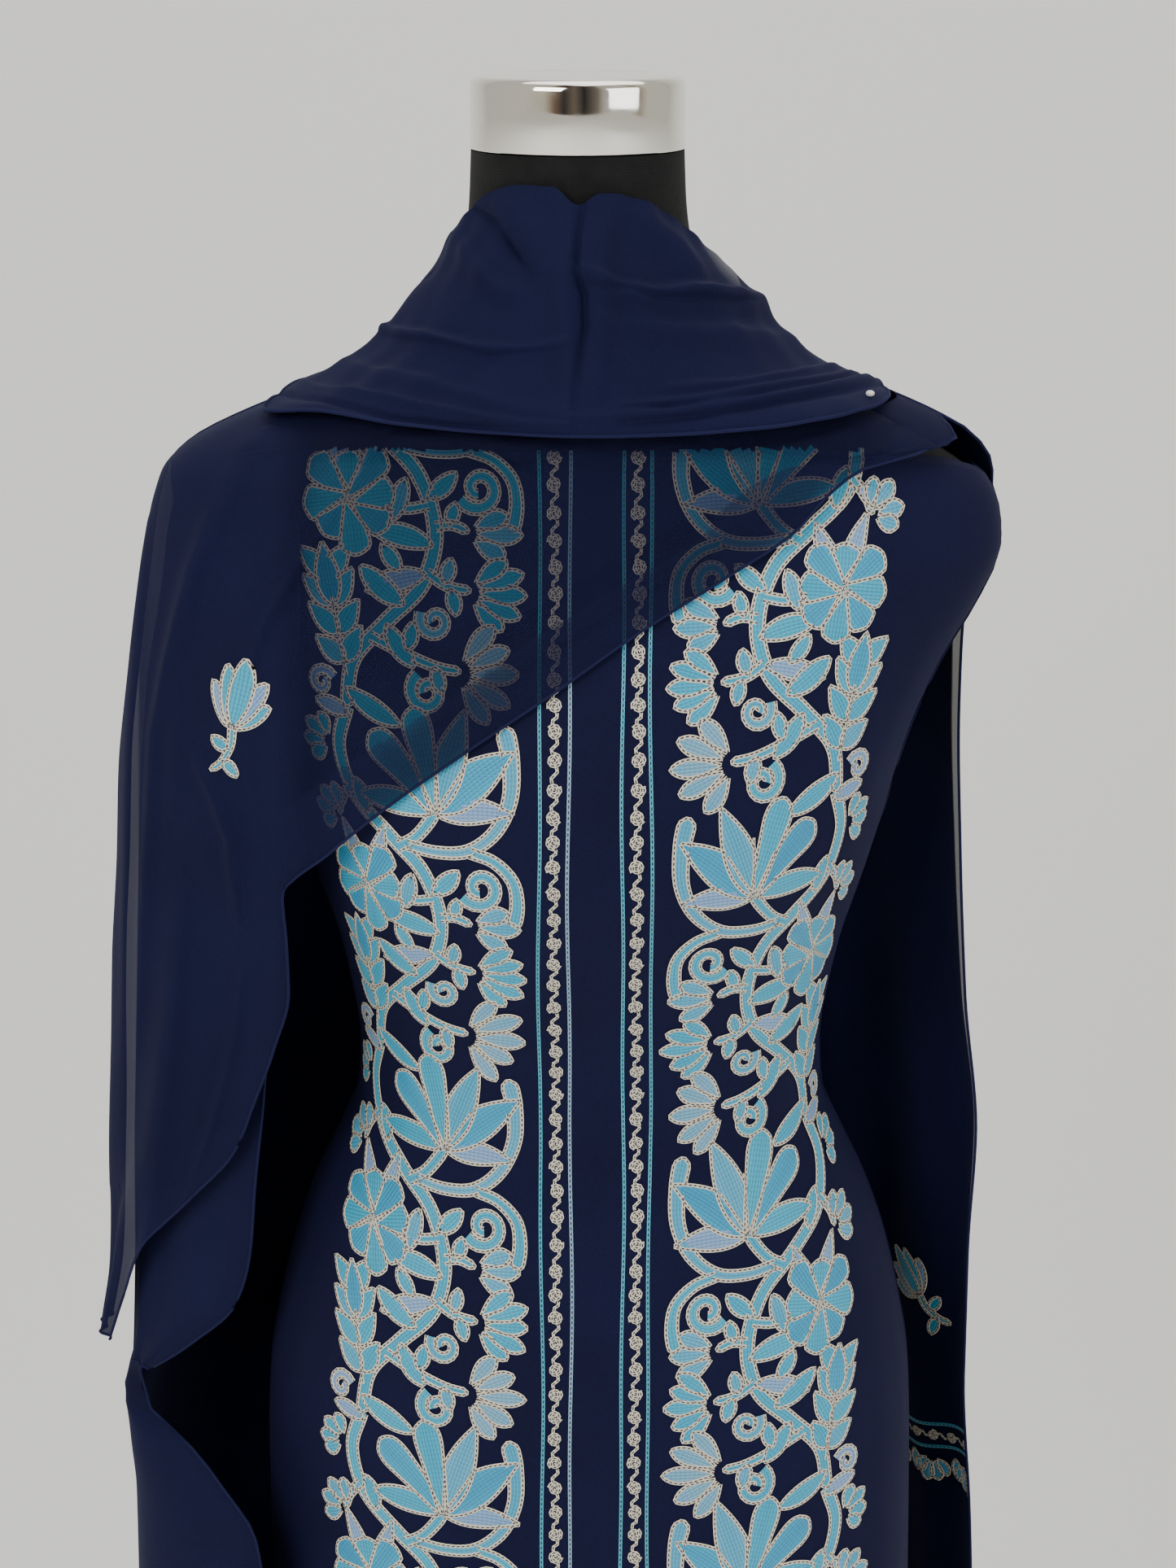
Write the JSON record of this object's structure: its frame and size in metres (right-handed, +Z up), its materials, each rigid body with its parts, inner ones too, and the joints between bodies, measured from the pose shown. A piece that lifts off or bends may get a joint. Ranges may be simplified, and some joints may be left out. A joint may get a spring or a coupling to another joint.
{
  "type": "salwar kameez suit with dupatta on a limbless dress form",
  "caption": "Sleeveless embroidered kameez with a narrow salwar and a sheer dupatta, draped on a limbless dress form on a round foot.",
  "frame": {"origin": "middle of the foot's underside, on the floor", "axes": "+Z up, -Y is the front of the suit, +X is the viewer's right"},
  "size_m": [0.4843, 0.38, 1.4995],
  "materials": {
    "kameez_cloth": "matt navy georgette crepe with raised chain-stitch embroidery",
    "dupatta_cloth": "sheer navy georgette, soft and slightly grainy",
    "salwar_cloth": "matt navy crepe",
    "form_cloth": "black knit cover, matt",
    "chrome": "polished chrome"
  },
  "bodies": {
    "root": {"form_torso": "form_cloth", "form_neck_cap": "chrome", "form_collar": "chrome", "stand_pole": "chrome", "stand_foot": "chrome", "kameez_front": "kameez_cloth", "kameez_back": "kameez_cloth", "dupatta_cowl": "dupatta_cloth", "dupatta_chest": "dupatta_cloth", "dupatta_middle_fall": "dupatta_cloth", "dupatta_rear_fall": "dupatta_cloth", "dupatta_right_fall": "dupatta_cloth", "salwar_yoke": "salwar_cloth", "salwar_leg_right": "salwar_cloth", "salwar_leg_left": "salwar_cloth", "salwar_cuff_right": "salwar_cloth", "salwar_cuff_left": "salwar_cloth"}
  },
  "joints": []
}
